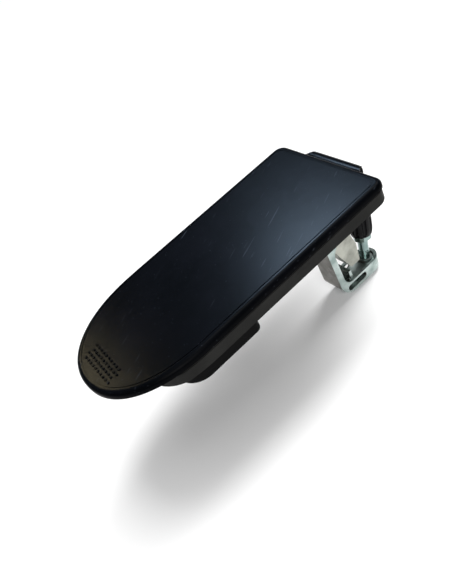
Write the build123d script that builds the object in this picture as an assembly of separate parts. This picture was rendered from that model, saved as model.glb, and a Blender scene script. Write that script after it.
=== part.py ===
from build123d import *
import math
import os

os.makedirs("parts", exist_ok=True)

# Flush compression latch handle. Millimetres.
# Frame: z = 0 is the mounting face under the flange, +Z points out of the door,
# +X runs along the handle to its square, hinged end, and y = 0 is the middle plane.

# ---- driving dimensions: handle -------------------------------------------------
lever_length = 137.0
lever_width = 66.0
tip_length = 43.3            # length of the rounded tip, measured along X
tip_power = 2.2              # exponent of the super-ellipse that rounds the tip
end_corner_radius = 5.0      # plan corners of the handle's square end
flange_corner_radius = 6.5   # plan corners of the housing there
flange_height = 5.8          # side wall of the housing above the mounting face
lid_gap = 0.3                # gap between the flange and the closed handle
rim_height = 3.15            # side wall of the handle
tip_droop = 1.4              # how far the top bends down at the tip
droop_length = 54.0          # length over which it bends
roof_thickness = 2.2
rim_thickness = 2.2
edge_radius = 2.2            # round on the handle's top edge
border_inset = 2.7           # thin groove that runs just inside the top edge
border_width = 0.45
border_corner_radius = 3.6
border_depth = 0.25
rib_thickness = 1.5
rib_depth = 1.55
rib_clearance = 0.45         # between the long ribs and the insert bosses
rib_end_gap = 4.8            # from the housing's tip end to the long ribs
rib_hinge_gap = 10.8         # from the ribs' other end to the hinge axis
cross_rib_count = 3
cross_rib_pitch = 24.0
cross_rib_start = 19.8       # from the housing's tip end to the first
cross_rib_side_gap = 7.5
grip_rows = 4
grip_columns = 10
grip_pitch = 2.3
grip_row_pitch = 2.1
grip_radius = 0.6
grip_height = 0.35
grip_inset = 10.0            # from the tip's end to the middle of the grip patch

# ---- driving dimensions: housing ------------------------------------------------
tip_overhang = 18.7          # the housing stops this far short of the handle's tip
housing_end_radius = 17.0
housing_wall = 2.2
floor_thickness = 2.0
tub_depth = 10.0             # finger tub below the mounting face
tub_end_gap = 8.8            # from the housing's tip end to the tub
tub_length = 37.2
tub_side_gap = 5.0           # from the housing's sides to the tub
tub_wall = 1.8
tub_corner_radius = 3.0
tub_tip_radius = 10.5
tub_bottom_round = 1.4
finger_sill_half_width = 18.0
slot_back = 43.8             # slot that lets the bracket and pawl swing
slot_half_width = 8.4
gasket_inset = 1.4
gasket_width = 2.6
gasket_thickness = 1.0
insert_spacing_x = 48.0
insert_side_gap = 9.0        # from the housing's sides to the inserts
insert_end_gap = 12.5        # from its square end to the nearer inserts
insert_boss_cover = 0.7
insert_length = 4.5
insert_radius = 2.8
insert_hole_radius = 1.65    # M4 minor diameter
insert_boss_radius = 4.3
bumper_back = 40.8           # from the hinge axis to the bumpers
bumper_side_gap = 6.5
bumper_radius = 2.4
bumper_stem_radius = 1.2
soft_gap = 0.3               # between a soft pad and what it stops
rim_ledge = 0.3              # fine step along the rim's upper and lower edges
notch_clearance = 0.6        # beside the barrel, at the hinged end
gasket_open_gap = 1.6        # from that notch to the gasket's ends

# ---- driving dimensions: hinge --------------------------------------------------
hinge_overhang = 2.3         # hinge axis past the handle's square end
hinge_z = 3.5
knuckle_radius = 3.5
knuckle_half_length = 14.6
knuckle_end_wall = 2.0
knuckle_shell = 0.7
knuckle_blend = 5.5
knuckle_end_round = 2.6
pin_radius = 1.5
pin_clearance = 0.05
ear_inner_y = 9.4
ear_thickness = 1.5
ear_foot_gap = 0.8           # between the ears' feet and the insert bosses
ear_foot_start_back = 23.8   # from the hinge axis
ear_foot_end_back = 6.8
eye_clearance = 0.15         # between an eye and the inside of the knuckle
rivet_inset = 3.75           # from the ends of an ear's foot to its rivets
rivet_radius = 1.2
rivet_head_radius = 2.1
rivet_head_height = 0.9
rivet_foot_radius = 1.9
rivet_foot_top_z = 1.0
cap_radius = 2.1
cap_length = 1.5
cap_recess = 0.3             # from the barrel's rounded end to the cap
bush_radius = 1.85
bush_flange = 0.5
spacer_radius = 1.8
spring_wire = 0.35           # radius of the spring wire
spring_mean = 2.22           # mean radius of the hinge springs
spring_hole_back = 8.8       # where a spring's end enters an ear
spring_hole_z = 4.0
spring_hook_back = 4.8       # where its other end enters the bracket
spring_hook_z = -9.0

# ---- driving dimensions: steel bracket under the handle -------------------------
sheet = 1.5                  # sheet thickness of the bracket, ears and pawl
bracket_half_width = 4.7
bracket_arm_back = 39.8      # distances back from the hinge axis
bracket_web_back = 22.9
bracket_bottom_z = -45.0
bracket_nose_back = 7.4
foot_length = 15.0
foot_reach = 12.5
screw_inset = 3.5
screw_y = 9.0
screw_radius = 1.3
screw_head_radius = 2.6
screw_head_height = 1.5
screw_depth = 1.5            # how far the screw goes into the roof
screw_boss_radius = 3.4
boss_height = 1.25           # from the roof down to the bracket's feet
bracket_elbow_z = -22.0

# ---- driving dimensions: pawl ---------------------------------------------------
pawl_half_width = 6.4
pawl_web_clearance = 0.2     # between the pawl's web and the bracket's
pawl_web_top_z = -16.0
pawl_bottom_z = -56.7
tray_wall_z = -50.8
tray_top_z = -52.4
pawl_flange = 3.3            # depth of the flange beside the web
pawl_bend = 7.6
pawl_pin_back = 16.3
pawl_pin_z = -14.0
pawl_pin_radius = 2.0
pawl_lobe_radius = 5.5
clip_thickness = 0.8
clip_inner_radius = 1.5
pawl_spring_end_z = -20.0    # where the pawl spring passes through the webs
pawl_spring_window = 1.6
tray_end_back = 3.3          # axis of the foot's round end at the nut plate
tray_end_tilt = 7.0
tray_slot_back = 15.1
tray_slot_z = -53.5
tray_slot_length = 12.2
tray_slot_height = 3.3
nut_plate_thickness = 1.5
nut_plate_lip = 6.4
nut_plate_waist = 3.4        # half width beside the slots
nut_leg_back = 8.8
side_clearance = 0.05
collar_height = 1.2
collar_radius = 3.7

# ---- driving dimensions: adjusting bolt and bumper cap --------------------------
bolt_foot_back = 2.6         # where the bolt's axis meets the top of the nut plate
bolt_tilt = 11.5             # degrees, top leaning to the hinged end
bolt_radius = 2.5            # M5
bolt_pitch = 0.8
bolt_below = 1.4             # bolt length below the nut plate's top face
bolt_above = 12.4            # from there up to the underside of the head
bolt_hole_clearance = 0.6    # around the bolt where it can pass the pawl's foot
thread_depth = 0.35
thread_length = 7.2
hex_across_flats = 8.0
hex_height = 3.5
bumper_cap_radius = 5.6
bumper_cap_length = 12.1
bumper_cap_skirt = 0.8       # how far the cap reaches down over the head
bumper_cap_mouth = 4.9       # its radius at the open lower end
bumper_cap_swell = 4.5       # height over which it swells to its full radius
stud_radius = 2.0
stud_length = 6.5
rib_count = 8
flute_radius = 1.15
lock_ring_height = 0.7
lock_ring_radius = 3.3

# ---- derived levels and places --------------------------------------------------
half_length = lever_length / 2
half_width = lever_width / 2
rim_z = flange_height + lid_gap
top_z = rim_z + rim_height
roof_z = top_z - roof_thickness
tip_start_x = tip_length - half_length
notch_start_x = half_length - housing_wall - 0.3
housing_end_x = tip_overhang - half_length
tub_start_x = housing_end_x + tub_end_gap
tub_half_width = half_width - tub_side_gap
rib_start_x = housing_end_x + rib_end_gap
insert_y = half_width - insert_side_gap
insert_x = half_length - insert_end_gap
bumper_y = half_width - bumper_side_gap
rib_y = insert_y - insert_boss_radius - rib_clearance - rib_thickness / 2
hinge_x = half_length + hinge_overhang
hinge_pin_half = knuckle_half_length - cap_length
notch_half_width = knuckle_half_length + notch_clearance
gasket_open_half = notch_half_width + gasket_open_gap
rib_end_x = hinge_x - rib_hinge_gap
slot_start_x = hinge_x - slot_back
bumper_x = hinge_x - bumper_back
ear_foot_start_x = hinge_x - ear_foot_start_back
ear_foot_end_x = hinge_x - ear_foot_end_back
spring_hole_x = hinge_x - spring_hole_back
spring_hook_x = hinge_x - spring_hook_back
bracket_arm_x = hinge_x - bracket_arm_back
bracket_web_x = hinge_x - bracket_web_back
bracket_nose_x = hinge_x - bracket_nose_back
pawl_web_x = bracket_web_x - sheet - pawl_web_clearance
pawl_pin_x = hinge_x - pawl_pin_back
tray_end_x = hinge_x - tray_end_back
tray_slot_x = hinge_x - tray_slot_back
nut_plate_start_x = pawl_web_x + pawl_bend
nut_leg_x = hinge_x - nut_leg_back
bolt_foot_x = hinge_x - bolt_foot_back
droop_start_x = droop_length - half_length
tall = 40.0                  # longer than any cut needs


# ---- shared shapes --------------------------------------------------------------
def droop_at(x):
    """How far a drooping level lies below its straight part at x."""
    beyond = max(0.0, droop_start_x - x)
    return tip_droop * (beyond / droop_length) ** 2


def handle_plan(inset, corner_radius=end_corner_radius):
    """Plan outline of the handle, moved inwards by inset."""
    half = half_width - inset
    reach = tip_length - inset
    end_x = half_length - inset
    far_points = [(tip_start_x, half)]
    steps = 4
    for i in range(1, steps):
        angle = math.pi / 2 * i / steps
        x = tip_start_x - reach * math.sin(angle) ** (2 / tip_power)
        far_points.append((x, half * math.cos(angle) ** (2 / tip_power)))
    far_points.append((tip_start_x - reach, 0))
    near_points = [(x, -y) for x, y in reversed(far_points)]
    scale = (1, 1)
    with BuildSketch() as plan:
        with BuildLine():
            Polyline(far_points[0], (end_x, half), (end_x, -half), near_points[-1])
            Spline(far_points, tangents=[(-1, 0), (0, -1)], tangent_scalars=scale)
            Spline(near_points, tangents=[(0, -1), (1, 0)], tangent_scalars=scale)
        make_face()
        corners = plan.vertices().sort_by(Axis.X)[-2:]
        fillet(corners, max(0.4, corner_radius - inset))
    return plan.sketch


def housing_plan(inset):
    """Plan outline of the housing: the handle's, cut off at a rounded end."""
    end_x = housing_end_x + inset
    length = half_length + 10 - end_x
    with BuildSketch() as block:
        with Locations((end_x + length / 2, 0)):
            Rectangle(length, lever_width - 2 * inset)
        corners = block.vertices().sort_by(Axis.X)[:2]
        fillet(corners, housing_end_radius - inset)
    return handle_plan(inset, flange_corner_radius) & block.sketch


def drooping(upper, lower, half):
    """Solid between two levels that bend down towards the tip."""
    tip_x = -half_length - 1
    middle_x = (droop_start_x + tip_x) / 2
    end_x = half_length + 30
    with BuildSketch(Plane.XZ) as side:
        with BuildLine():
            ThreePointArc(
                (droop_start_x, upper),
                (middle_x, upper - droop_at(middle_x)),
                (tip_x, upper - droop_at(tip_x)),
            )
            Line((tip_x, upper - droop_at(tip_x)), (tip_x, lower - droop_at(tip_x)))
            ThreePointArc(
                (tip_x, lower - droop_at(tip_x)),
                (middle_x, lower - droop_at(middle_x)),
                (droop_start_x, lower),
            )
            Polyline((droop_start_x, lower), (end_x, lower), (end_x, upper), (droop_start_x, upper))
        make_face()
    return extrude(side.sketch, half, both=True)


def box(x0, x1, y0, y1, z0, z1):
    """Box between two corners."""
    block = Box(x1 - x0, y1 - y0, z1 - z0, align=(Align.MIN, Align.MIN, Align.MIN))
    return Pos(x0, y0, z0) * block


def cylinder_y(x, z, radius, y0, y1):
    """Cylinder along Y from y0 to y1."""
    rod = Cylinder(radius, y1 - y0)
    return Pos(x, (y0 + y1) / 2, z) * Rot(90, 0, 0) * rod


def cylinder_z(x, y, radius, z0, z1):
    """Cylinder along Z from z0 to z1."""
    return Pos(x, y, (z0 + z1) / 2) * Cylinder(radius, z1 - z0)


def slab_y(points, y0, y1, radii=()):
    """Plate with an XZ outline, from y0 to y1. radii: corner index and fillet radius."""
    with BuildSketch(Plane.XZ) as outline:
        with BuildLine():
            Polyline(*points, close=True)
        make_face()
        for index, radius in radii:
            x, z = points[index]
            corner = outline.vertices().sort_by_distance((x, z, 0))[0]
            fillet(corner, radius)
    plate = extrude(outline.sketch, -(y1 - y0))
    return Pos(0, y0, 0) * plate


def mirrored(shape):
    """A shape and its mirror image on the other side of the middle plane."""
    return [shape, mirror(shape, Plane.XZ)]


def joined(first, others):
    """One solid from a first shape and a list of others."""
    result = first
    for other in others:
        result = result + other
    return result


def cut(first, others):
    """A shape less every shape in a list."""
    result = first
    for other in others:
        result = result - other
    return result


def coil_y(x, z, mean_radius, wire_radius, y0, y1, turns):
    """Close-wound coil around an axis along Y."""
    pitch = (y1 - y0 - 2 * wire_radius) / turns
    path = Helix(pitch, pitch * turns, mean_radius)
    start = Plane(origin=path @ 0, z_dir=path % 0)
    wire = sweep(start * Circle(wire_radius), path=path)
    return Pos(x, y0 + wire_radius, z) * Rot(-90, 0, 0) * wire


def wire_through(points, radius):
    """Straight wires through a list of points, with round joints."""
    pieces = []
    for first, second in zip(points, points[1:]):
        start, end = Vector(first), Vector(second)
        plane = Plane(origin=start, z_dir=end - start)
        pieces.append(extrude(plane * Circle(radius), (end - start).length))
    for point in points[1:-1]:
        pieces.append(Pos(*point) * Sphere(radius))
    return joined(pieces[0], pieces[1:])


def save(shape, name):
    """Write one sub-part."""
    shape.label = name
    export_step(shape, "parts/" + name + ".step")


def group(shapes):
    """Several separate solids in one sub-part."""
    solids = []
    for shape in shapes:
        solids += shape.solids()
    return Compound(children=solids)


# ---- places that several pieces share -------------------------------------------
wire_hole_radius = spring_wire + 0.1
eye_radius = knuckle_radius - knuckle_shell - eye_clearance
eye_hole_radius = pin_radius + pin_clearance
ear_outer_y = ear_inner_y + ear_thickness
knuckle_inner_y = knuckle_half_length - knuckle_end_wall
foot_top_z = roof_z - boss_height
foot_bottom_z = foot_top_z - sheet
arm_top_z = foot_top_z - 0.6
foot_end_x = bracket_arm_x + foot_length
screw_end_z = roof_z + screw_depth
screw_places = []
for screw_x in (bracket_arm_x + screw_inset, foot_end_x - screw_inset):
    for side in (-1, 1):
        screw_places.append((screw_x, side * screw_y))
insert_places = []
for x in (insert_x - insert_spacing_x, insert_x):
    for side in (-1, 1):
        insert_places.append((x, side * insert_y))
ear_foot_end_y = insert_y - insert_boss_radius - ear_foot_gap
rivet_places = []
for rivet_x in (ear_foot_start_x + rivet_inset, ear_foot_end_x - rivet_inset):
    for side in (-1, 1):
        rivet_places.append((rivet_x, side * (ear_outer_y + ear_foot_end_y) / 2))
ear_foot_top_z = floor_thickness + ear_thickness


# ---- handle ---------------------------------------------------------------------
def grip_pips():
    """Short raised pips in staggered rows near the tip."""
    pips = []
    middle_x = grip_inset - half_length
    for row in range(grip_rows):
        x = middle_x + (row - (grip_rows - 1) / 2) * grip_row_pitch
        shift = (row % 2 - 0.5) * grip_pitch / 2
        level = top_z - droop_at(x)
        for column in range(grip_columns):
            y = (column - (grip_columns - 1) / 2) * grip_pitch + shift
            pips.append(cylinder_z(x, y, grip_radius, level - 0.5, level + grip_height))
    return pips


def knuckle():
    """Hinge barrel at the square end, with concave blends into the end wall."""
    barrel = cylinder_y(hinge_x, hinge_z, knuckle_radius, -knuckle_half_length, knuckle_half_length)
    barrel = fillet(barrel.edges().filter_by(GeomType.CIRCLE), knuckle_end_round)
    neck_half = knuckle_half_length - knuckle_end_round
    neck_top_z = hinge_z + knuckle_radius - 0.1
    pieces = [barrel, box(half_length - rim_thickness, hinge_x, -neck_half, neck_half, rim_z, neck_top_z)]
    start_x = half_length - 1.0
    end_x = half_length + knuckle_blend
    blend_end_y = knuckle_half_length + knuckle_blend
    wide = cylinder_y(hinge_x, hinge_z, knuckle_radius - 0.02, -half_width, half_width)
    for side in (-1, 1):
        with BuildSketch() as corner:
            with Locations(((start_x + end_x) / 2, side * (neck_half + blend_end_y) / 2)):
                Rectangle(end_x - start_x, blend_end_y - neck_half)
            with Locations((end_x, side * blend_end_y)):
                Circle(knuckle_blend, mode=Mode.SUBTRACT)
        blend = extrude(corner.sketch, tall, both=True) & wide
        pieces.append(blend & box(0, 2 * tall + 20, -half_width, half_width, rim_z, tall))
    return pieces


def knuckle_hollow():
    """Space inside the barrel for the ears, the bracket's eyes and the springs."""
    inner_radius = knuckle_radius - knuckle_shell
    inner_y = knuckle_inner_y
    bore = cylinder_y(hinge_x, hinge_z, inner_radius, -inner_y, inner_y)
    mouth_start_x = half_length - rim_thickness - 1.0
    mouth = box(mouth_start_x, hinge_x, -inner_y, inner_y, -tall, hinge_z + eye_radius)
    below = box(hinge_x - 10, hinge_x + 1.6, -inner_y, inner_y, -tall, hinge_z)
    pin = cylinder_y(hinge_x, hinge_z, pin_radius, -hinge_pin_half, hinge_pin_half)
    ends = mirrored(cylinder_y(hinge_x, hinge_z, cap_radius, hinge_pin_half, tall))
    return joined(bore, [mouth, below, pin] + ends)


def make_handle():
    """Moulded cover with its rim, ribs, bosses and hinge barrel."""
    blank = extrude(handle_plan(0), tall, both=True) & drooping(top_z, rim_z, half_width + 1)
    upper_edges = []
    for edge in blank.edges():
        middle = edge.center()
        on_top = abs(middle.Z - (top_z - droop_at(middle.X))) < 0.25
        seam = abs(middle.X - droop_start_x) < 0.5 and abs(middle.Y) < 1
        if on_top and not seam:
            upper_edges.append(edge)
    blank = fillet(upper_edges, edge_radius)
    hollow = extrude(handle_plan(rim_thickness), tall, both=True)
    hollow = hollow & drooping(roof_z, rim_z - 1, half_width + 1)
    bend = border_inset + border_corner_radius
    ring = handle_plan(border_inset, bend) - handle_plan(border_inset + border_width, bend)
    groove = extrude(ring, tall, both=True) & drooping(top_z + 1, top_z - border_depth, half_width)
    handle = blank - hollow - groove
    roof_limit = drooping(top_z - 0.6, -tall, half_width)
    rib_z = roof_z - rib_depth
    half_rib = rib_thickness / 2
    ribs = []
    for side in (-1, 1):
        y = side * rib_y
        ribs.append(box(rib_start_x, rib_end_x, y - half_rib, y + half_rib, rib_z - tip_droop, top_z))
    for i in range(cross_rib_count):
        x = housing_end_x + cross_rib_start + i * cross_rib_pitch
        y = half_width - cross_rib_side_gap
        ribs.append(box(x - half_rib, x + half_rib, -y, y, rib_z - tip_droop, top_z))
    rib_limit = drooping(top_z - 0.6, rib_z, half_width)
    additions = [rib & rib_limit for rib in ribs]
    for x, y in screw_places:
        additions.append(cylinder_z(x, y, screw_boss_radius, foot_top_z, top_z) & roof_limit)
    handle = joined(handle, additions + knuckle())
    cuts = [knuckle_hollow()]
    for x, y in screw_places:
        cuts.append(cylinder_z(x, y, screw_radius, foot_top_z - 1, screw_end_z))
    return joined(cut(handle, cuts), grip_pips())


# ---- housing --------------------------------------------------------------------
def tub_plan(inset):
    """Plan outline of the finger tub."""
    x0 = tub_start_x + inset
    x1 = tub_start_x + tub_length - inset
    half = tub_half_width - inset
    with BuildSketch() as plan:
        with BuildLine():
            Polyline((x0, half), (x1, half), (x1, -half), (x0, -half), close=True)
        make_face()
        corners = plan.vertices().sort_by(Axis.X)
        fillet(corners[:2], tub_tip_radius - inset)
        fillet(plan.vertices().sort_by(Axis.X)[-2:], tub_corner_radius)
    return plan.sketch


def make_housing():
    """Tray with its rim, floor, finger tub, insert bosses and slot."""
    ledge = rim_ledge
    outline = extrude(housing_plan(0), tall, both=True)
    narrow = extrude(housing_plan(ledge), tall, both=True)
    body = outline & drooping(flange_height - ledge, -tip_droop, half_width + 1)
    body = body & box(-tall * 2, tall * 2, -tall, tall, ledge, tall)
    core = narrow & drooping(flange_height, -tip_droop, half_width + 1)
    body = body + (core & box(-tall * 2, tall * 2, -tall, tall, 0, tall))
    inside = extrude(housing_plan(housing_wall), tall)
    body = body - Pos(0, 0, floor_thickness) * inside
    tub = extrude(tub_plan(0), -tub_depth)
    tub = fillet(tub.faces().sort_by(Axis.Z)[0].edges(), tub_bottom_round)
    additions = [tub]
    for x, y in insert_places:
        additions.append(cylinder_z(x, y, insert_boss_radius, 0.5, insert_length + insert_boss_cover))
    body = joined(body, additions)
    pocket_top_z = floor_thickness + 0.1
    pocket_plan = Pos(0, 0, pocket_top_z) * tub_plan(tub_wall)
    pocket = extrude(pocket_plan, tub_wall - tub_depth - pocket_top_z)
    pocket = fillet(pocket.faces().sort_by(Axis.Z)[0].edges(), tub_bottom_round)
    cuts = [pocket, gasket_blank(0)]
    cuts.append(box(slot_start_x, tall * 2, -slot_half_width, slot_half_width, -1, floor_thickness + 1))
    cuts.append(box(notch_start_x, tall * 2, -notch_half_width, notch_half_width, -1, tall))
    sill = finger_sill_half_width
    cuts.append(box(-tall * 2, tub_start_x + tub_wall + 1, -sill, sill, floor_thickness, tall))
    for x, y in insert_places:
        cuts.append(cylinder_z(x, y, insert_radius, -1, insert_length))
    for x, y in rivet_places:
        cuts.append(cylinder_z(x, y, rivet_radius, -1, tall))
        cuts.append(cylinder_z(x, y, rivet_foot_radius, -1, rivet_foot_top_z))
    for side in (-1, 1):
        cuts.append(cylinder_z(bumper_x, side * bumper_y, bumper_stem_radius, -1, floor_thickness + 1))
    return cut(body, cuts)


def gasket_blank(gap):
    """Horseshoe that fills the groove in the flange's underside, less a gap at its sides."""
    outer = housing_plan(gasket_inset + gap)
    inner = housing_plan(gasket_inset + gasket_width - gap)
    band = extrude(outer - inner, gasket_thickness)
    open_end = box(tall, tall * 3, -gasket_open_half, gasket_open_half, -1, tall)
    return band - open_end


def make_inserts():
    """Four brass inserts with a knurl groove."""
    inserts = []
    for x, y in insert_places:
        body = cylinder_z(x, y, insert_radius, 0, insert_length)
        middle = insert_length / 2
        knurl_gap = cylinder_z(x, y, insert_radius, middle - 0.5, middle + 0.5)
        knurl_gap = knurl_gap - cylinder_z(x, y, insert_radius - 0.4, middle - 1, middle + 1)
        bore = cylinder_z(x, y, insert_hole_radius, -1, insert_length + 1)
        inserts.append(body - knurl_gap - bore)
    return group(inserts)


def make_bumpers():
    """Two rubber pads with stems pushed into the floor."""
    pads = []
    for side in (-1, 1):
        y = side * bumper_y
        pad = cylinder_z(bumper_x, y, bumper_radius, floor_thickness, roof_z - soft_gap)
        pad = fillet(pad.edges().sort_by(Axis.Z)[-1], 0.6)
        pads.append(pad + cylinder_z(bumper_x, y, bumper_stem_radius, 0.3, floor_thickness + 0.5))
    return group(pads)


# ---- hinge ----------------------------------------------------------------------
def make_ears():
    """Two steel plates riveted to the floor, with an eye for the pin."""
    ears = []
    z0 = floor_thickness
    points = [
        (ear_foot_start_x + 8, z0),
        (notch_start_x, z0),
        (hinge_x - 0.8, hinge_z - eye_radius + 0.12),
        (hinge_x - 0.5, hinge_z + eye_radius - 0.1),
        (ear_foot_end_x, arm_top_z - 0.2),
        (ear_foot_start_x + 12, arm_top_z - 0.2),
    ]
    for side in (-1, 1):
        plate = slab_y(points, ear_inner_y, ear_outer_y, [(5, 1.5)])
        plate = plate + cylinder_y(hinge_x, hinge_z, eye_radius, ear_inner_y, ear_outer_y)
        foot = box(ear_foot_start_x, ear_foot_end_x, ear_inner_y, ear_foot_end_y, z0, ear_foot_top_z)
        foot = fillet(foot.edges().filter_by(Axis.Z).sort_by(Axis.Y)[-2:], 2.0)
        hole = cylinder_y(hinge_x, hinge_z, bush_radius, 0, tall)
        spring_hole = cylinder_y(spring_hole_x, spring_hole_z, wire_hole_radius, 0, tall)
        ear = cut(plate + foot, [hole, spring_hole])
        for x, y in rivet_places:
            ear = ear - cylinder_z(x, abs(y), rivet_radius, -1, tall)
        ears.append(ear if side > 0 else mirror(ear, Plane.XZ))
    return group(ears)


def make_rivets():
    """Four rivets with a round head on the ears and a flush foot."""
    rivets = []
    for x, y in rivet_places:
        head = cylinder_z(x, y, rivet_head_radius, ear_foot_top_z, ear_foot_top_z + rivet_head_height)
        head = fillet(head.edges().sort_by(Axis.Z)[-1], rivet_head_height - 0.2)
        shank = cylinder_z(x, y, rivet_radius, 0.3, ear_foot_top_z + 0.2)
        foot = cylinder_z(x, y, rivet_foot_radius, 0.3, rivet_foot_top_z)
        rivets.append(head + shank + foot)
    return group(rivets)


def make_bushes():
    """Two flanged bushes in the eyes of the ears."""
    bush = cylinder_y(hinge_x, hinge_z, bush_radius, ear_inner_y - bush_flange, ear_outer_y)
    bush = bush + cylinder_y(hinge_x, hinge_z, eye_radius - 0.15, ear_inner_y - bush_flange, ear_inner_y)
    bush = bush - cylinder_y(hinge_x, hinge_z, eye_hole_radius, 0, tall)
    return group(mirrored(bush))


def make_spacers():
    """Two sleeves that keep the bracket's eyes central on the pin."""
    end_y = ear_inner_y - bush_flange - 0.1
    sleeve = cylinder_y(hinge_x, hinge_z, spacer_radius, bracket_half_width, end_y)
    sleeve = sleeve - cylinder_y(hinge_x, hinge_z, eye_hole_radius, 0, tall)
    return group(mirrored(sleeve))


def make_hinge_pin():
    """Plain pin through the barrel."""
    pin = cylinder_y(hinge_x, hinge_z, pin_radius, -hinge_pin_half, hinge_pin_half)
    return chamfer(pin.edges().filter_by(GeomType.CIRCLE), 0.3)


def make_end_caps():
    """Two plugs that close the barrel over the pin's ends."""
    plug = cylinder_y(hinge_x, hinge_z, cap_radius, hinge_pin_half, knuckle_half_length - cap_recess)
    plug = chamfer(plug.edges().filter_by(GeomType.CIRCLE).sort_by(Axis.Y)[-1], 0.25)
    return group(mirrored(plug))


def make_lever_springs():
    """Two torsion springs, each with one end in an ear and one in the bracket."""
    start_y = bracket_half_width + 0.35
    end_y = ear_inner_y - bush_flange - 0.25
    turns = 5
    coil = coil_y(hinge_x, hinge_z, spring_mean, spring_wire, start_y, end_y, turns)
    first_y = start_y + spring_wire
    last_y = end_y - spring_wire
    ear_leg = wire_through([
        (hinge_x, last_y, hinge_z + spring_mean),
        (spring_hole_x, last_y, spring_hole_z),
        (spring_hole_x, ear_outer_y - 0.3, spring_hole_z),
    ], spring_wire)
    bracket_leg = wire_through([
        (hinge_x - spring_mean, first_y, hinge_z),
        (spring_hook_x, first_y, spring_hook_z),
        (spring_hook_x, bracket_half_width - sheet + 0.3, spring_hook_z),
    ], spring_wire)
    spring = joined(coil, [ear_leg, bracket_leg])
    return group(mirrored(spring))


# ---- bracket and pawl -----------------------------------------------------------
def make_bracket():
    """Folded steel channel that carries the pawl and hangs from the handle."""
    half = bracket_half_width
    elbow_z = bracket_elbow_z
    outline = [
        (bracket_arm_x, arm_top_z),
        (bracket_arm_x, arm_top_z - 5.0),
        (bracket_web_x, -3.5),
        (bracket_web_x, elbow_z),
        (bracket_web_x + 7.0, bracket_bottom_z + 4.4),
        (bracket_web_x + 8.8, bracket_bottom_z),
        (bracket_nose_x - 1.2, bracket_bottom_z),
        (bracket_nose_x, bracket_bottom_z + 9.8),
        (bracket_nose_x - 1.4, -28.8),
        (hinge_x - 0.2, hinge_z - eye_radius + 0.03),
        (hinge_x - 0.2, hinge_z + eye_radius - 0.03),
        (hinge_x - 4.8, arm_top_z),
    ]
    bends = [(1, 2.0), (2, 1.5), (3, 3.0), (4, 1.2), (5, 1.2), (6, 0.8), (8, 8.0)]
    block = slab_y(outline, -half, half, bends)
    eye = cylinder_y(hinge_x, hinge_z, eye_radius, -half, half)
    inner = half - sheet
    hollow_outline = [
        (bracket_arm_x - 1, tall),
        (bracket_arm_x - 1, -6.0),
        (bracket_web_x - 1, -6.0),
        (bracket_web_x - 1, -3.0),
        (bracket_web_x + sheet, -3.0),
        (bracket_web_x + sheet, elbow_z + 0.3),
        (bracket_web_x + 8.4, bracket_bottom_z + 4.95),
        (bracket_web_x + 10.8, bracket_bottom_z - 1),
        (hinge_x + 10, bracket_bottom_z - 1),
        (hinge_x + 10, tall),
    ]
    hollow = slab_y(hollow_outline, -inner, inner, [(5, 2.5)])
    body = (block + eye) - hollow
    for side in (-1, 1):
        y0, y1 = sorted((side * inner, side * foot_reach))
        foot = box(bracket_arm_x, foot_end_x, y0, y1, foot_bottom_z, foot_top_z)
        corners = foot.edges().filter_by(Axis.Z).sort_by(Axis.Y)
        foot = fillet(corners[-2:] if side > 0 else corners[:2], 2.0)
        body = body + foot
    cuts = [cylinder_y(hinge_x, hinge_z, eye_hole_radius, -half - 1, half + 1)]
    cuts.append(cylinder_y(pawl_pin_x, pawl_pin_z, pawl_pin_radius, -half - 1, half + 1))
    hook = cylinder_y(spring_hook_x, spring_hook_z, wire_hole_radius, -half - 1, half + 1)
    cuts.append(hook)
    window = pawl_spring_window
    cuts.append(box(bracket_web_x - 1, bracket_web_x + sheet + 1, -window, window,
                    pawl_spring_end_z - 1.6, pawl_spring_end_z + 1.6))
    for x, y in screw_places:
        cuts.append(cylinder_z(x, y, screw_radius + 0.1, foot_bottom_z - 1, foot_top_z + 1))
    return cut(body, cuts)


def make_bracket_screws():
    """Four pan-head screws with a hexagon socket."""
    screws = []
    for x, y in screw_places:
        head = cylinder_z(x, y, screw_head_radius, foot_bottom_z - screw_head_height, foot_bottom_z)
        head = fillet(head.edges().sort_by(Axis.Z)[0], 0.5)
        shank = cylinder_z(x, y, screw_radius, foot_bottom_z - 0.2, screw_end_z)
        socket = extrude(Pos(x, y, foot_bottom_z - screw_head_height) * RegularPolygon(1.15, 6), 0.9)
        screws.append(head + shank - socket)
    return group(screws)


def leaning_cylinder(radius, low_z, high_z):
    """Upright cylinder that leans with the adjusting bolt, around its axis."""
    length = high_z - low_z
    along = Pos(bolt_foot_x, 0, tray_top_z) * Rot(0, bolt_tilt, 0)
    return along * cylinder_z(0, 0, radius, low_z, low_z + length)


def tray_plan(half, low_z, high_z):
    """Block from the web to the rounded, leaning end of the pawl's foot."""
    along = Pos(tray_end_x, 0, tray_top_z) * Rot(0, tray_end_tilt, 0)
    lean = along * (Cylinder(half, tall) + Pos(-tall / 2, 0, 0) * Box(tall, 2 * half, tall))
    start = box(0, tray_end_x - tall / 2, -half, half, low_z, high_z)
    return (start + lean) & box(0, tall * 3, -half, half, low_z, high_z)


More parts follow.
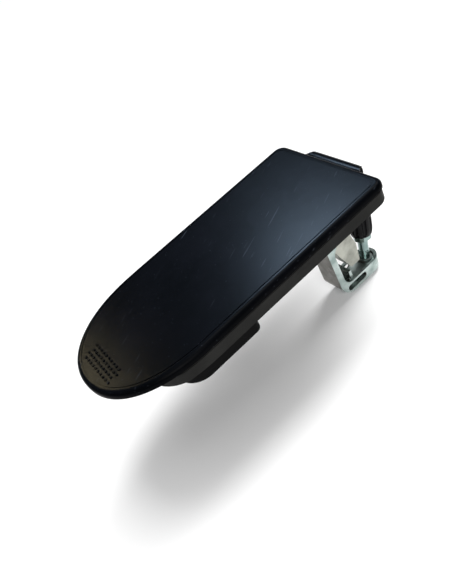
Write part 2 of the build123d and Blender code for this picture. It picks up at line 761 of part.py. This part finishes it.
def make_pawl():
    """J-shaped pressed channel with lobes for its pin."""
    half = pawl_half_width
    wall_x = pawl_web_x + pawl_flange
    outer_points = [
        (pawl_web_x, pawl_web_top_z),
        (pawl_web_x, pawl_bottom_z),
        (tall * 2.2, pawl_bottom_z),
        (tall * 2.2, tray_wall_z),
        (wall_x, tray_wall_z),
        (wall_x, -30.0),
        (pawl_pin_x + 4.7, pawl_pin_z - 2.8),
        (pawl_pin_x, pawl_pin_z),
        (pawl_pin_x - 3.9, pawl_pin_z + 3.9),
    ]
    block = slab_y(outer_points, -half, half, [(1, pawl_bend), (4, 4.5), (5, 5.0)])
    block = block + cylinder_y(pawl_pin_x, pawl_pin_z, pawl_lobe_radius, -half, half)
    foot = tray_plan(half, pawl_bottom_z, tray_wall_z)
    block = block & (foot + box(0, tall * 3, -half, half, tray_wall_z, 0))
    inner = half - sheet
    inner_points = [
        (pawl_web_x + sheet, tall),
        (pawl_web_x + sheet, pawl_bottom_z + sheet),
        (tall * 2.2, pawl_bottom_z + sheet),
        (tall * 2.2, tall),
    ]
    hollow = slab_y(inner_points, -inner, inner, [(1, pawl_bend - sheet)])
    foot_inside = tray_plan(inner, pawl_bottom_z, tray_wall_z + 1)
    hollow = hollow & (foot_inside + box(0, tall * 3, -inner, inner, tray_wall_z, 0))
    above_web = box(0, tall * 3, -inner, inner, pawl_web_top_z, tall)
    cuts = [hollow, above_web]
    cuts.append(cylinder_y(pawl_pin_x, pawl_pin_z, pawl_pin_radius + pin_clearance, -tall, tall))
    cuts.append(tray_slot(-tall, tall))
    foot_inside_low = pawl_bottom_z + sheet - tray_top_z
    cuts.append(leaning_cylinder(bolt_radius + bolt_hole_clearance, -tall, foot_inside_low + 1.0))
    cuts.append(box(pawl_web_x - 1, pawl_web_x + sheet + 1, -wire_hole_radius, wire_hole_radius,
                    pawl_spring_end_z - 0.6, pawl_spring_end_z + 0.6))
    return cut(block, cuts)


def tray_slot(y0, y1):
    """Obround opening through the sides of the pawl's foot."""
    middle_z = tray_slot_z
    radius = tray_slot_height / 2
    reach = tray_slot_length / 2 - radius
    bar = box(tray_slot_x - reach, tray_slot_x + reach, y0, y1, middle_z - radius, middle_z + radius)
    left = cylinder_y(tray_slot_x - reach, middle_z, radius, y0, y1)
    right = cylinder_y(tray_slot_x + reach, middle_z, radius, y0, y1)
    return joined(bar, [left, right])


def make_pawl_pin():
    """Headed pin through the bracket and the pawl."""
    half = pawl_half_width
    end_y = half + clip_thickness + 0.6
    pin = cylinder_y(pawl_pin_x, pawl_pin_z, pawl_pin_radius, -half - 0.2, end_y)
    pin = pin + cylinder_y(pawl_pin_x, pawl_pin_z, pawl_pin_radius + 1.2, -half - 1.1, -half - 0.1)
    groove = cylinder_y(pawl_pin_x, pawl_pin_z, tall, half + 0.1, half + 0.1 + clip_thickness)
    core = cylinder_y(pawl_pin_x, pawl_pin_z, clip_inner_radius, -tall, tall)
    return pin - (groove - core)


def make_pin_ring():
    """Open retaining ring in the pin's groove."""
    y0 = pawl_half_width + 0.1
    ring = cylinder_y(pawl_pin_x, pawl_pin_z, pawl_pin_radius + 1.3, y0, y0 + clip_thickness)
    ring = ring - cylinder_y(pawl_pin_x, pawl_pin_z, clip_inner_radius, -tall, tall)
    mouth = box(pawl_pin_x - 1.1, pawl_pin_x + 1.1, y0 - 1, y0 + 2, pawl_pin_z - tall, pawl_pin_z)
    return ring - mouth


def make_pawl_spring():
    """Torsion spring on the pawl pin that holds the pawl against the bracket."""
    half = bracket_half_width - sheet - 0.3
    mean = pawl_pin_radius + 0.3 + spring_wire
    coil = coil_y(pawl_pin_x, pawl_pin_z, mean, spring_wire, -half, half, 6)
    low_y = -half + spring_wire
    high_y = half - spring_wire
    rest_x = bracket_web_x + sheet + spring_wire + 0.05
    bracket_leg = wire_through([
        (pawl_pin_x - mean, high_y, pawl_pin_z),
        (rest_x, high_y, pawl_pin_z - 5.0),
        (rest_x, high_y, pawl_pin_z - 7.3),
    ], spring_wire)
    pawl_leg = wire_through([
        (pawl_pin_x - mean, low_y, pawl_pin_z),
        (rest_x + 1.6, 0, pawl_spring_end_z),
        (pawl_web_x + 0.4, 0, pawl_spring_end_z),
    ], spring_wire)
    return joined(coil, [bracket_leg, pawl_leg])


def make_nut_plate():
    """Plate with a turned-up edge, two legs and a threaded collar."""
    half = pawl_half_width - sheet - side_clearance
    waist = nut_plate_waist
    bottom_z = tray_top_z - nut_plate_thickness
    foot_z = pawl_bottom_z + sheet
    start_x = nut_plate_start_x
    plate = tray_plan(half, bottom_z, tray_top_z)
    plate = plate & box(nut_leg_x, tall * 3, -half, half, bottom_z, tray_top_z)
    additions = [box(start_x, nut_leg_x + 1, -waist, waist, bottom_z, tray_top_z)]
    lip_end_x = start_x + nut_plate_thickness
    additions.append(box(start_x, lip_end_x, -half, half, tray_wall_z, tray_top_z + nut_plate_lip))
    additions.append(box(start_x, lip_end_x, -waist, waist, foot_z, tray_wall_z + 0.2))
    leg_end_x = nut_leg_x + nut_plate_thickness
    additions.append(box(nut_leg_x, leg_end_x, -waist, waist, foot_z, tray_top_z))
    additions.append(leaning_cylinder(collar_radius, -0.3, collar_height))
    body = joined(plate, additions)
    bore = leaning_cylinder(bolt_radius + pin_clearance, -tall, tall)
    ring_seat = leaning_cylinder(lock_ring_radius, collar_height - lock_ring_height, tall)
    return cut(body, [bore, ring_seat])


def make_lock_ring():
    """Nylon ring in the top of the collar."""
    ring = leaning_cylinder(lock_ring_radius, collar_height - lock_ring_height, collar_height)
    return ring - leaning_cylinder(bolt_radius + pin_clearance, -tall, tall)


# ---- adjusting bolt -------------------------------------------------------------
def make_bolt():
    """Hexagon-head bolt with thread rings and a stud that holds the cap."""
    shank = leaning_cylinder(bolt_radius, -bolt_below, bolt_above + 0.5)
    count = round(thread_length / bolt_pitch)
    rings = []
    for i in range(count):
        z = i * bolt_pitch - bolt_below + 0.5
        ring = leaning_cylinder(bolt_radius + 1, z, z + bolt_pitch / 2)
        rings.append(ring - leaning_cylinder(bolt_radius - thread_depth, z - 1, z + 1))
    shank = cut(shank, rings)
    along = Pos(bolt_foot_x, 0, tray_top_z) * Rot(0, bolt_tilt, 0)
    hexagon_plan = RegularPolygon(hex_across_flats / 2, 6, major_radius=False)
    hexagon = extrude(Pos(0, 0, bolt_above) * hexagon_plan, hex_height)
    corner_round = Pos(0, 0, bolt_above + hex_height / 2) * Cylinder(hex_across_flats / 2 + 0.55, hex_height)
    corner_round = chamfer(corner_round.edges().filter_by(GeomType.CIRCLE).sort_by(Axis.Z)[0], 0.35)
    head = along * (hexagon & corner_round)
    top = bolt_above + hex_height
    stud = leaning_cylinder(stud_radius, top - 0.2, top + stud_length)
    knob = leaning_cylinder(stud_radius + 0.7, top + stud_length - 1.6, top + stud_length)
    return joined(shank, [head, stud, knob])


def make_cap():
    """Ribbed rubber cap pushed over the bolt's head."""
    low = bolt_above + hex_height - bumper_cap_skirt
    along = Pos(bolt_foot_x, 0, tray_top_z) * Rot(0, bolt_tilt, 0)
    high = low + bumper_cap_length
    widening = bumper_cap_radius - bumper_cap_mouth
    swell_radius = (bumper_cap_swell ** 2 + widening ** 2) / (2 * widening)
    swell_x = swell_radius - math.sqrt(swell_radius ** 2 - bumper_cap_swell ** 2 / 4)
    swell = ThreePointArc(
        (bumper_cap_mouth, 0, low),
        (bumper_cap_radius - swell_x, 0, low + bumper_cap_swell / 2),
        (bumper_cap_radius, 0, low + bumper_cap_swell),
    )
    rest = Polyline(swell @ 1, (bumper_cap_radius, 0, high), (0, 0, high), (0, 0, low), swell @ 0)
    body = revolve(Face(Wire([swell, *rest.edges()])), Axis.Z)
    body = fillet(body.edges().filter_by(GeomType.CIRCLE).sort_by(Axis.Z)[-1], 1.6)
    flutes = []
    for i in range(rib_count):
        angle = 360 * (i + 0.5) / rib_count
        flute = Rot(0, 0, angle) * cylinder_z(bumper_cap_radius + 0.25, 0, flute_radius,
                                              low + 0.7, high - 2.0)
        flutes.append(flute)
    return cut(along * cut(body, flutes), [make_bolt()])


# ---- write the pieces -----------------------------------------------------------
save(make_handle(), "lever_handle")
save(make_housing(), "housing")
save(gasket_blank(side_clearance), "gasket")
save(make_inserts(), "thread_inserts")
save(make_bumpers(), "lever_bumpers")
save(make_ears(), "hinge_ears")
save(make_rivets(), "ear_rivets")
save(make_bushes(), "hinge_bushes")
save(make_spacers(), "hinge_spacers")
save(make_hinge_pin(), "hinge_pin")
save(make_end_caps(), "hinge_end_caps")
save(make_lever_springs(), "lever_springs")
save(make_bracket(), "lever_bracket")
save(make_bracket_screws(), "bracket_screws")
save(make_pawl(), "pawl")
save(make_pawl_pin(), "pawl_pin")
save(make_pin_ring(), "pawl_pin_ring")
save(make_pawl_spring(), "pawl_spring")
save(make_nut_plate(), "nut_plate")
save(make_lock_ring(), "thread_lock_ring")
save(make_bolt(), "adjusting_bolt")
save(make_cap(), "bumper_cap")
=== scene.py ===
import math

import bpy
from mathutils import Matrix, Vector


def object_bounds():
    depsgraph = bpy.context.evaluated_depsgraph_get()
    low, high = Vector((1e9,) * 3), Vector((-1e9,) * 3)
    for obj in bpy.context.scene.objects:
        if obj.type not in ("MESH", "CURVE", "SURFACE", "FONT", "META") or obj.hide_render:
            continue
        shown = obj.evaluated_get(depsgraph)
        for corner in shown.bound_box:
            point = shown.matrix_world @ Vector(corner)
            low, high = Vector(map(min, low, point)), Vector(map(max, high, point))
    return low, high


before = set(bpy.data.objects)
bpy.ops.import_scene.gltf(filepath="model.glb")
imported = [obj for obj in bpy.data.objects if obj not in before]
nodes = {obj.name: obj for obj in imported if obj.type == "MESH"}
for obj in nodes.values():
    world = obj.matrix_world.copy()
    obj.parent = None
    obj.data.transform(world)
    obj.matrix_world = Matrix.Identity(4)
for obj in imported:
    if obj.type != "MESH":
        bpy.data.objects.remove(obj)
cad_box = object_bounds()
scene = bpy.context.scene


# ---- materials ------------------------------------------------------------------
# Colours are linear RGB. Noise scales are in cycles per metre, heights in metres.
WANDER_DETAIL = 3.0
WANDER_START, WANDER_END = 0.35, 0.65


def grey(value):
    """The same value on all three channels."""
    return (value, value, value)


def noise(mat, scale, detail):
    """Noise in object space."""
    tree = mat.node_tree
    coord = tree.nodes.new("ShaderNodeTexCoord")
    tex = tree.nodes.new("ShaderNodeTexNoise")
    tex.inputs["Scale"].default_value = scale
    tex.inputs["Detail"].default_value = detail
    tree.links.new(coord.outputs["Object"], tex.inputs["Vector"])
    return tex.outputs["Fac"]


def ramp(mat, source, start, end, low, high):
    """Colour that goes from low to high as a value goes from start to end."""
    tree = mat.node_tree
    node = tree.nodes.new("ShaderNodeValToRGB")
    for element, place, color in zip(node.color_ramp.elements, (start, end), (low, high)):
        element.position = place
        element.color = (*color, 1)
    tree.links.new(source, node.inputs["Fac"])
    return node.outputs["Color"]


def wander(mat, socket, scale, low, high):
    """Make a socket of the shader wander between two colours."""
    color = ramp(mat, noise(mat, scale, WANDER_DETAIL), WANDER_START, WANDER_END, low, high)
    mat.node_tree.links.new(color, mat.node_tree.nodes["Principled BSDF"].inputs[socket])


def material(name, color, roughness, scale, low, high, metallic=0.0, specular=0.5):
    """A principled material whose colour wanders from low to high. color: its flat colour."""
    mat = bpy.data.materials.new(name)
    mat.use_nodes = True
    inputs = mat.node_tree.nodes["Principled BSDF"].inputs
    inputs["Base Color"].default_value = (*color, 1)
    inputs["Roughness"].default_value = roughness
    inputs["Metallic"].default_value = metallic
    inputs["Specular IOR Level"].default_value = specular
    wander(mat, "Base Color", scale, low, high)
    return mat


def vary_roughness(mat, scale, low, high):
    """Roughness that wanders between two values."""
    wander(mat, "Roughness", scale, grey(low), grey(high))


def bump(mat, source, height):
    """Bump from a value."""
    tree = mat.node_tree
    node = tree.nodes.new("ShaderNodeBump")
    node.inputs["Distance"].default_value = height
    node.inputs["Strength"].default_value = 1.0
    tree.links.new(source, node.inputs["Height"])
    tree.links.new(node.outputs["Normal"], tree.nodes["Principled BSDF"].inputs["Normal"])


def lines(mat, angle, scale, stretch, start, end):
    """Value of 1 on sparse thin lines that run at an angle in the XY plane."""
    tree = mat.node_tree
    coord = tree.nodes.new("ShaderNodeTexCoord")
    mapping = tree.nodes.new("ShaderNodeMapping")
    mapping.vector_type = "TEXTURE"
    mapping.inputs["Rotation"].default_value = (0, 0, math.radians(angle))
    mapping.inputs["Scale"].default_value = (stretch, 1, 1)
    tex = tree.nodes.new("ShaderNodeTexNoise")
    tex.inputs["Scale"].default_value = scale
    tex.inputs["Detail"].default_value = 1.0
    tree.links.new(coord.outputs["Object"], mapping.inputs["Vector"])
    tree.links.new(mapping.outputs["Vector"], tex.inputs["Vector"])
    return ramp(mat, tex.outputs["Fac"], start, end, grey(0), grey(1))


def mask(mat, measure, axis, start, end):
    """Value from 0 to 1 as a measure ("Object" place or "Normal") goes from start to end."""
    tree = mat.node_tree
    coord = tree.nodes.new("ShaderNodeTexCoord")
    split = tree.nodes.new("ShaderNodeSeparateXYZ")
    fade = tree.nodes.new("ShaderNodeMapRange")
    fade.inputs["From Min"].default_value = start
    fade.inputs["From Max"].default_value = end
    tree.links.new(coord.outputs[measure], split.inputs["Vector"])
    tree.links.new(split.outputs[axis], fade.inputs["Value"])
    return fade.outputs["Result"]


def times(mat, first, second):
    """The product of two values."""
    tree = mat.node_tree
    node = tree.nodes.new("ShaderNodeMath")
    node.operation = "MULTIPLY"
    tree.links.new(first, node.inputs[0])
    tree.links.new(second, node.inputs[1])
    return node.outputs[0]


def over(mat, cover, color):
    """Lay a colour over the base colour where cover is 1."""
    tree = mat.node_tree
    base = tree.nodes["Principled BSDF"].inputs["Base Color"]
    mix = tree.nodes.new("ShaderNodeMix")
    mix.data_type = "RGBA"
    mix.inputs["B"].default_value = (*color, 1)
    tree.links.new(cover, mix.inputs["Factor"])
    tree.links.new(base.links[0].from_socket, mix.inputs["A"])
    tree.links.new(mix.outputs["Result"], base)


# Handle: near-black gloss with a fine grain, faint scratches in patches, and specks of dust.
handle_black = material("handle_black", (0.003, 0.003, 0.004), 0.24,
                        60, (0.0010, 0.0012, 0.0016), (0.0016, 0.0018, 0.0025), specular=0.015)
scratches = lines(handle_black, angle=24, scale=1100, stretch=14, start=0.70, end=0.74)
patches = ramp(handle_black, noise(handle_black, 40, 1.0), 0.50, 0.60, grey(0), grey(0.3))
over(handle_black, times(handle_black, scratches, patches), (0.05, 0.056, 0.068))
specks = ramp(handle_black, noise(handle_black, 1500, 0.0), 0.82, 0.86, grey(0), grey(0.5))
over(handle_black, specks, (0.03, 0.034, 0.042))
bump(handle_black, noise(handle_black, 2600, 3.0), height=0.00003)

# Housing: matte black, with painted shade: darker in the tub below the mounting face at z = 0,
# where the tub lies in shade.
housing_black = material("housing_black", (0.012, 0.012, 0.012), 0.55,
                         90, (0.013, 0.013, 0.0125), (0.019, 0.019, 0.018), specular=0.04)
# Painted shade: the tub below the mounting face is darkened.
over(housing_black, mask(housing_black, "Object", "Z", -0.0005, -0.0012), (0.0015, 0.0015, 0.0016))
bump(housing_black, noise(housing_black, 1800, 4.0), height=0.00006)

# Zinc plate: painted shade, darker on the faces toward the handle's tip, which is at -X.
zinc = material("zinc", (0.36, 0.45, 0.42), 0.35,
                170, (0.25, 0.31, 0.295), (0.46, 0.53, 0.51), metallic=1.0)
vary_roughness(zinc, 240, 0.24, 0.44)
# Painted shade on the faces that point toward -X.
over(zinc, mask(zinc, "Normal", "X", -0.5, -0.8), (0.16, 0.155, 0.14))

# Bolt: painted highlight, brighter on the side away from the tip.
zinc_with_painted_highlight = material("zinc_with_painted_highlight", (0.22, 0.29, 0.28), 0.2,
                       150, (0.18, 0.25, 0.24), (0.27, 0.35, 0.335), metallic=1.0)
vary_roughness(zinc_with_painted_highlight, 300, 0.16, 0.26)
# Painted highlight on the faces that point toward +X.
over(zinc_with_painted_highlight, mask(zinc_with_painted_highlight, "Normal", "X", 0.15, 0.75), (0.58, 0.66, 0.645))

grey_plate = material("grey_plate", (0.34, 0.34, 0.30), 0.5,
                      140, (0.25, 0.255, 0.225), (0.44, 0.445, 0.395), metallic=0.85)
vary_roughness(grey_plate, 300, 0.42, 0.58)

steel = material("steel", (0.52, 0.53, 0.54), 0.3,
                 200, (0.46, 0.47, 0.48), (0.58, 0.59, 0.60), metallic=1.0)
spring_steel = material("spring_steel", (0.20, 0.21, 0.22), 0.35,
                        300, (0.17, 0.18, 0.19), (0.25, 0.26, 0.27), metallic=1.0)
brass = material("brass", (0.62, 0.44, 0.17), 0.35,
                 250, (0.54, 0.38, 0.15), (0.68, 0.50, 0.21), metallic=1.0)
rubber = material("rubber", (0.004, 0.004, 0.004), 0.22,
                  200, (0.003, 0.003, 0.0035), (0.006, 0.006, 0.0065), specular=0.09)
gasket_foam = material("gasket_foam", (0.02, 0.02, 0.02), 0.9,
                       1500, (0.012, 0.012, 0.012), (0.035, 0.035, 0.035), specular=0.2)
lock_nylon = material("lock_nylon", (0.10, 0.12, 0.115), 0.5,
                      160, (0.08, 0.10, 0.095), (0.13, 0.15, 0.145))
nylon = material("nylon", (0.60, 0.59, 0.52), 0.5,
                 160, (0.56, 0.55, 0.48), (0.65, 0.64, 0.57))
cap_plastic = material("cap_plastic", (0.004, 0.004, 0.004), 0.45,
                       220, (0.002, 0.002, 0.003), (0.004, 0.004, 0.005), specular=0.03)

finishes = [
    (handle_black, ["lever_handle"]),
    (housing_black, ["housing"]),
    (zinc, ["pawl", "nut_plate"]),
    (zinc_with_painted_highlight, ["adjusting_bolt"]),
    (grey_plate, ["lever_bracket", "hinge_ears"]),
    (steel, ["hinge_pin", "bracket_screws", "pawl_pin", "ear_rivets"]),
    (spring_steel, ["lever_springs", "pawl_spring", "pawl_pin_ring"]),
    (brass, ["thread_inserts"]),
    (rubber, ["bumper_cap", "lever_bumpers"]),
    (gasket_foam, ["gasket"]),
    (nylon, ["hinge_bushes", "hinge_spacers"]),
    (lock_nylon, ["thread_lock_ring"]),
    (cap_plastic, ["hinge_end_caps"]),
]
for mat, names in finishes:
    for name in names:
        nodes[name].data.materials.clear()
        nodes[name].data.materials.append(mat)


# ---- floor ----------------------------------------------------------------------
FLOOR_GAP = 0.002  # room between the lowest piece and the floor
FLOOR_REACH = 1.6  # half the floor's side

centre = (Vector(cad_box[0]) + Vector(cad_box[1])) / 2
floor_z = cad_box[0].z - FLOOR_GAP

floor_mat = material("floor", (0.92, 0.92, 0.92), 0.9,
                     4, (0.915, 0.915, 0.915), (0.925, 0.925, 0.925), specular=0.0)
mesh = bpy.data.meshes.new("floor")
corners = [
    (x * FLOOR_REACH, y * FLOOR_REACH, floor_z)
    for x, y in ((-1, -1), (1, -1), (1, 1), (-1, 1))
]
mesh.from_pydata(corners, [], [(0, 1, 2, 3)])
mesh.materials.append(floor_mat)
floor = bpy.data.objects.new("floor", mesh)
scene.collection.objects.link(floor)


# ---- light ----------------------------------------------------------------------
WORLD_LIGHT = 0.09  # strength of the world as a light
WORLD_SEEN = 0.86  # grey that the camera sees past the floor

world = bpy.data.worlds.new("studio")
world.use_nodes = True
tree = world.node_tree
dim = tree.nodes["Background"]
dim.inputs["Color"].default_value = (1, 1, 1, 1)
dim.inputs["Strength"].default_value = WORLD_LIGHT
pale = tree.nodes.new("ShaderNodeBackground")
pale.inputs["Color"].default_value = (*grey(WORLD_SEEN), 1)
seen = tree.nodes.new("ShaderNodeLightPath")
mix = tree.nodes.new("ShaderNodeMixShader")
tree.links.new(seen.outputs["Is Camera Ray"], mix.inputs["Fac"])
tree.links.new(dim.outputs["Background"], mix.inputs[1])
tree.links.new(pale.outputs["Background"], mix.inputs[2])
tree.links.new(mix.outputs["Shader"], tree.nodes["World Output"].inputs["Surface"])
scene.world = world

plastics = bpy.data.collections.new("plastics")
for name in ("lever_handle", "hinge_end_caps"):
    plastics.objects.link(nodes[name])


def area_light(name, azimuth, elevation, distance, size, power, color=(1, 1, 1), size_y=None,
               only=None):
    """Area light in a direction from the middle of the object, facing it.

    size: its width, and its height too unless size_y gives that. only: the pieces it lights.
    """
    az, el = math.radians(azimuth), math.radians(elevation)
    towards = Vector((math.cos(az) * math.cos(el), math.sin(az) * math.cos(el), math.sin(el)))
    data = bpy.data.lights.new(name, "AREA")
    data.energy = power
    data.color = color
    data.size = size
    if size_y is not None:
        data.shape = "RECTANGLE"
        data.size_y = size_y
    light = bpy.data.objects.new(name, data)
    scene.collection.objects.link(light)
    light.location = centre + towards * distance
    light.rotation_euler = towards.to_track_quat("Z", "Y").to_euler()
    if only is not None:
        light.light_linking.receiver_collection = only


# Name, azimuth and elevation in degrees, distance and size in metres, power in watts.
area_light("key", 14, 60, 3.0, 1.2, 104.0, size_y=2.6)
area_light("overhead", -90, 80, 1.5, 1.0, 6.0)
area_light("front", -112, 38, 1.5, 0.8, 13.0)
# The blue and the warm sheen of the black plastic.
area_light("sheen", 57, 48, 0.9, 0.17, 16.0, (0.55, 0.75, 1.0), only=plastics)
area_light("warm", 106, 39, 0.9, 0.12, 2.4, (1.0, 0.85, 0.5), only=plastics)


# ---- camera ---------------------------------------------------------------------
# Its axes, place and lens were solved from the photo's perspective.
right = (0.72336, -0.55807, -0.40658)
up = (0.65896, 0.38212, 0.64789)
back = (-0.20621, -0.73657, 0.64416)
place = (-0.05446, -0.18987, 0.15866)
data = bpy.data.cameras.new("camera")
data.sensor_fit = "VERTICAL"
data.sensor_height = 36
data.lens = 37.66
data.clip_start = 0.01
camera = bpy.data.objects.new("camera", data)
scene.collection.objects.link(camera)
camera.matrix_world = Matrix((*zip(right, up, back, place), (0, 0, 0, 1)))
scene.camera = camera
scene.view_settings.view_transform = "Standard"
scene.view_settings.look = "None"
